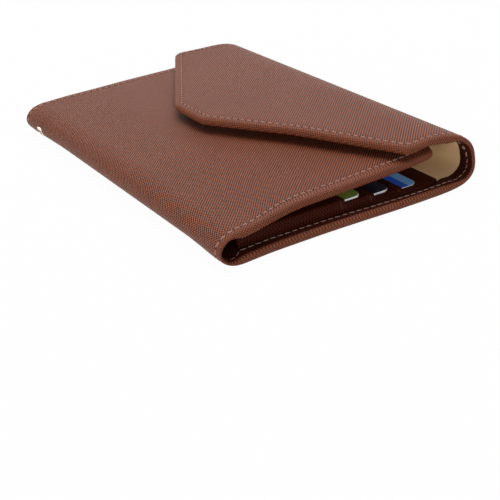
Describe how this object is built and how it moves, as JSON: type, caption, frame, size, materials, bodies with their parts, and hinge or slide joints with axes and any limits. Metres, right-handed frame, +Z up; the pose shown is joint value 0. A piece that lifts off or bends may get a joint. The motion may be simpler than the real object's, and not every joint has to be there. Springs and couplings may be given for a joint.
{
  "type": "travel wallet",
  "caption": "Folding leather travel wallet with an envelope flap, a passport pocket and cascading card slots.",
  "frame": {"origin": "on the table under the middle of the closed wallet", "axes": "+X from the thin left fold to the deep right fold that the flap hangs on, +Y along the folds to the far end, +Z up through the flap"},
  "size_m": [0.1123, 0.164, 0.0217],
  "materials": {
    "leather": "fine cross-hatched grain, satin",
    "inner_leather": "fine cross-hatched grain, matt",
    "lining": "matt suede-like cloth",
    "board": "raw fibre board",
    "eyelet": "polished, pale",
    "magnet": "plated",
    "green_card": "plain gloss",
    "dark_card": "plain gloss",
    "blue_card": "plain gloss"
  },
  "bodies": {
    "back": {"back_cover": "leather", "back_board": "board", "card_panel": "inner_leather", "card_slot_1": "inner_leather", "card_slot_2": "inner_leather", "card_slot_3": "inner_leather"},
    "left_spine": {"left_spine_cover": "leather", "left_spine_lining": "inner_leather", "strap_eyelet": "eyelet"},
    "front": {"front_cover": "leather", "front_board": "board", "front_magnet": "magnet", "front_lining": "lining", "passport_pocket": "inner_leather"},
    "right_spine": {"right_spine_cover": "leather", "right_spine_lining": "lining"},
    "flap": {"flap_cover": "leather", "flap_board": "board", "flap_magnet": "magnet", "flap_lining": "lining"},
    "card_1": {"card_1": "green_card"},
    "card_2": {"card_2": "dark_card"},
    "card_3": {"card_3": "blue_card"}
  },
  "joints": [
    {"name": "left_fold_lower", "type": "hinge", "parent": "back", "child": "left_spine", "pos_m": [-0.05432, 0, 0.00168], "axis": [0, -1, 0], "range_deg": [0, 88], "deforming": ["flap_cover", "flap_board", "flap_lining", "flap_magnet"]},
    {"name": "left_fold_upper", "type": "hinge", "parent": "left_spine", "child": "front", "pos_m": [-0.05432, 0, 0.01112], "axis": [0, -1, 0], "range_deg": [0, 88]},
    {"name": "right_fold_lower", "type": "hinge", "parent": "back", "child": "right_spine", "pos_m": [0.05319, 0, 0.00281], "axis": [0, 1, 0], "range_deg": [0, 88]},
    {"name": "right_fold_upper", "type": "hinge", "parent": "right_spine", "child": "flap", "pos_m": [0.05275, 0, 0.01845], "axis": [0, 1, 0], "range_deg": [0, 88]},
    {"name": "card_1_slide", "type": "slide", "parent": "back", "child": "card_1", "axis": [1, 0, 0], "range_m": [0, 0.032]},
    {"name": "card_2_slide", "type": "slide", "parent": "back", "child": "card_2", "axis": [1, 0, 0], "range_m": [0, 0.0195]},
    {"name": "card_3_slide", "type": "slide", "parent": "back", "child": "card_3", "axis": [1, 0, 0], "range_m": [0, 0.0035]}
  ],
  "couplings": [
    {"joint": "left_fold_upper", "follows": "left_fold_lower", "ratio": 1},
    {"joint": "right_fold_upper", "follows": "right_fold_lower", "ratio": 1}
  ]
}
